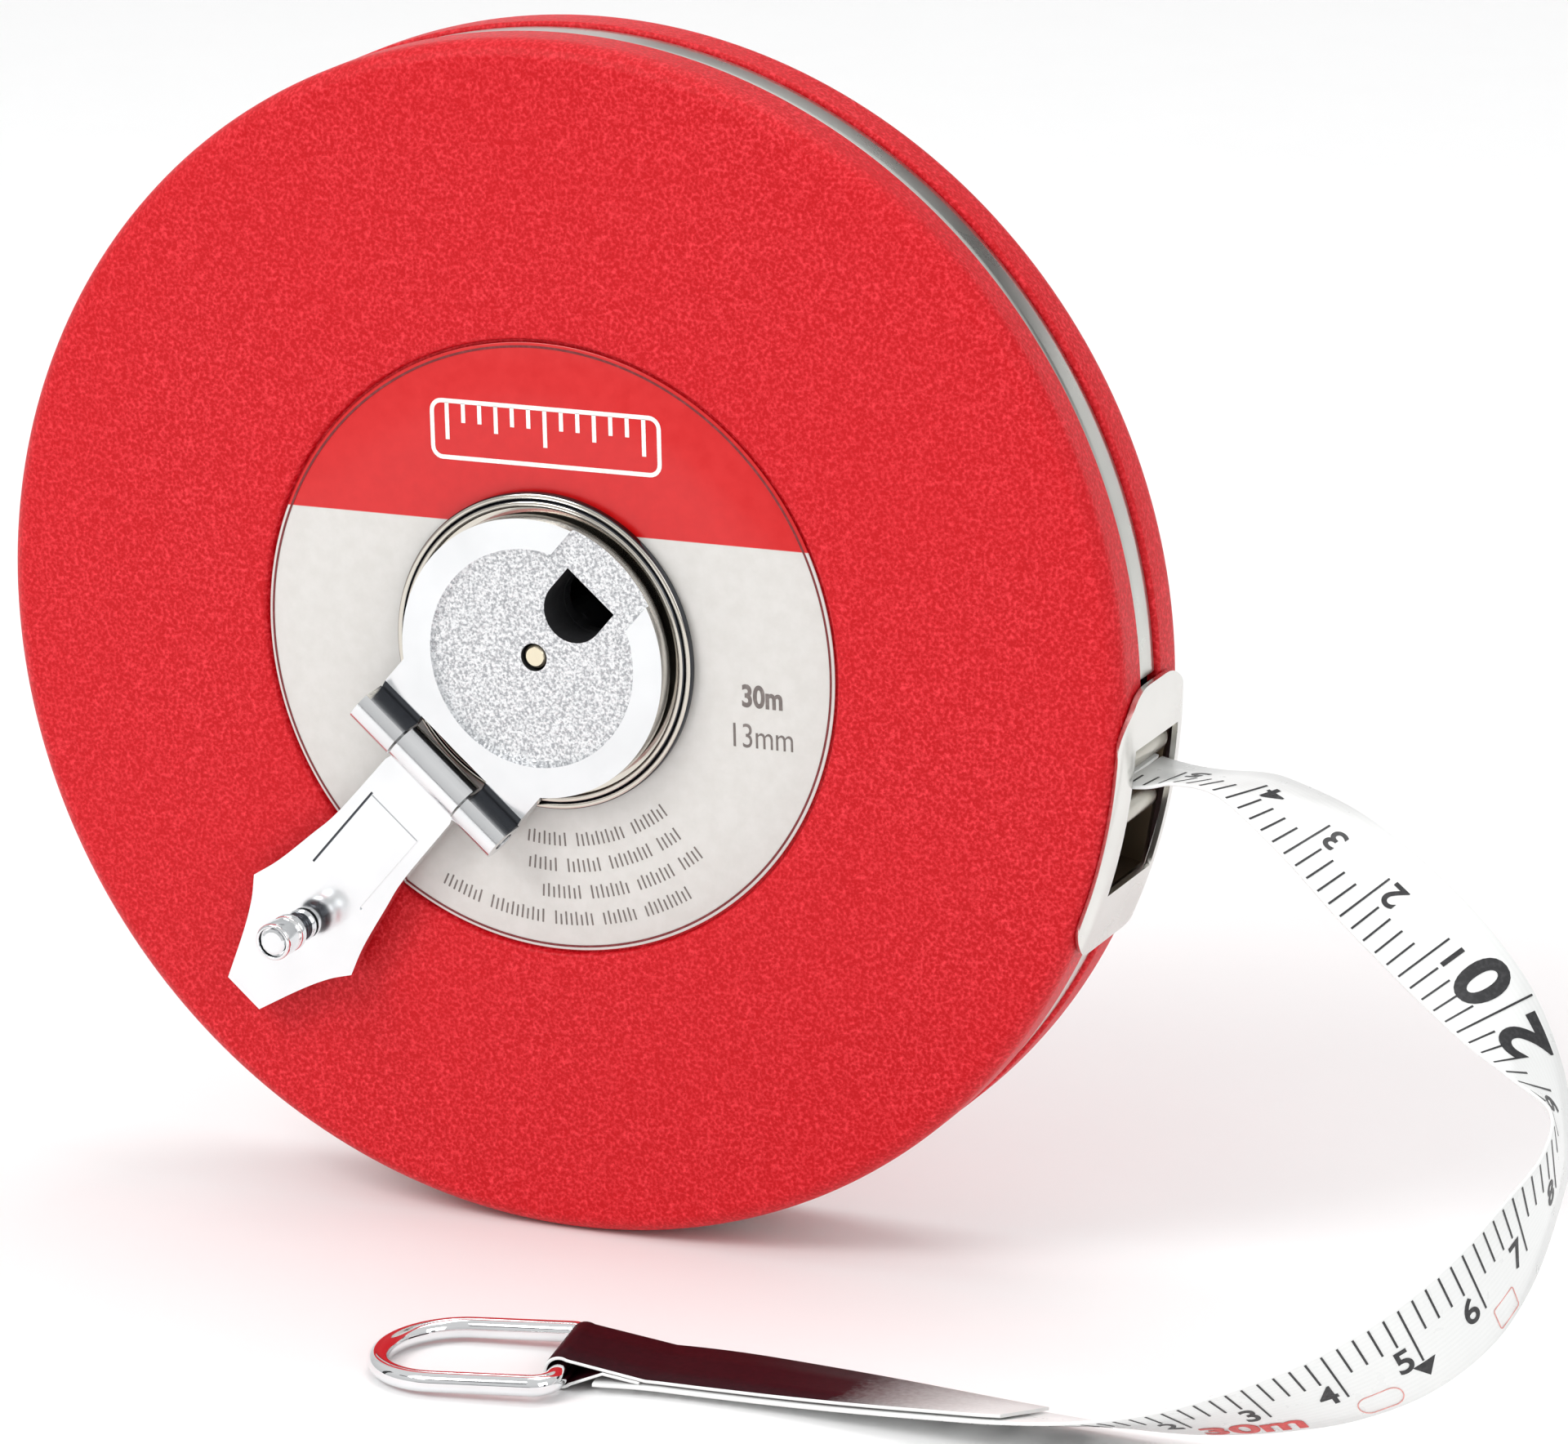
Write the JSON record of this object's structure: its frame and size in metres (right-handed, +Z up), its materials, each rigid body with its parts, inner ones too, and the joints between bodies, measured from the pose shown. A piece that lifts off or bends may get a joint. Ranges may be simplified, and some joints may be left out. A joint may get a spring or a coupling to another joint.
{
  "type": "surveyor tape reel",
  "caption": "Closed round case that holds a wound measuring tape on a cranked reel, with a roller mouth in its rim and a wire ring on the tape's end.",
  "frame": {"origin": "on the surface that the reel stands on, under the middle of the case and its crank", "axes": "+Z up; the label and crank face -Y; the tape comes out of the rim towards +X"},
  "size_m": [0.2094, 0.0769, 0.15],
  "materials": {
    "red_vinyl": "pebbled satin",
    "nickel_plate": "satin nickel",
    "chrome_plate": "polished",
    "brass": "turned",
    "zinc_steel": "zinc plated",
    "black_moulding": "moulded",
    "printed_label": "printed satin",
    "white_tape": "coated satin",
    "dark_strip": "satin"
  },
  "bodies": {
    "case": {"front_shell": "red_vinyl", "back_shell": "red_vinyl", "rim_band": "nickel_plate", "front_label": "printed_label", "bezel_ring": "chrome_plate", "axle": "brass", "axle_clip": "zinc_steel", "mouth_plate": "nickel_plate", "mouth_frame": "nickel_plate", "upper_roller_pin": "zinc_steel", "lower_roller_pin": "zinc_steel", "inner_tape": "white_tape", "free_tape": "white_tape", "end_strip": "dark_strip"},
    "reel": {"hub_drum": "black_moulding", "front_flange": "black_moulding", "back_flange": "black_moulding", "tape_pack": "white_tape", "crank_head": "chrome_plate", "hinge_pin": "zinc_steel", "head_screw_1": "zinc_steel", "head_screw_2": "zinc_steel", "head_screw_3": "zinc_steel"},
    "arm": {"crank_arm": "chrome_plate", "knob_spindle": "zinc_steel"},
    "knob": {"knob": "chrome_plate"},
    "upper_roller": {"upper_roller": "nickel_plate"},
    "lower_roller": {"lower_roller": "nickel_plate"},
    "ring": {"end_ring": "chrome_plate"}
  },
  "joints": [
    {"name": "reel_spin", "type": "hinge", "parent": "case", "child": "reel", "pos_m": [-0.0005, 0.006, 0.075], "axis": [0, 1, 0], "continuous": true},
    {"name": "arm_fold", "type": "hinge", "parent": "reel", "child": "arm", "pos_m": [-0.01428, -0.0081, 0.05942], "axis": [-0.749, 0, 0.6626], "range_deg": [0, 180]},
    {"name": "knob_spin", "type": "hinge", "parent": "arm", "child": "knob", "pos_m": [-0.03363, -0.012, 0.03755], "axis": [0, 1, 0], "continuous": true},
    {"name": "upper_roller_spin", "type": "hinge", "parent": "case", "child": "upper_roller", "pos_m": [0.07218, 0.006, 0.06699], "axis": [0, 1, 0], "continuous": true},
    {"name": "lower_roller_spin", "type": "hinge", "parent": "case", "child": "lower_roller", "pos_m": [0.07066, 0.006, 0.05965], "axis": [0, 1, 0], "continuous": true},
    {"name": "end_ring_swing", "type": "hinge", "parent": "case", "child": "ring", "pos_m": [0.02156, -0.04678, 0.00202], "axis": [-0.1701, 0.9854, 0], "range_deg": [0, 150]}
  ]
}
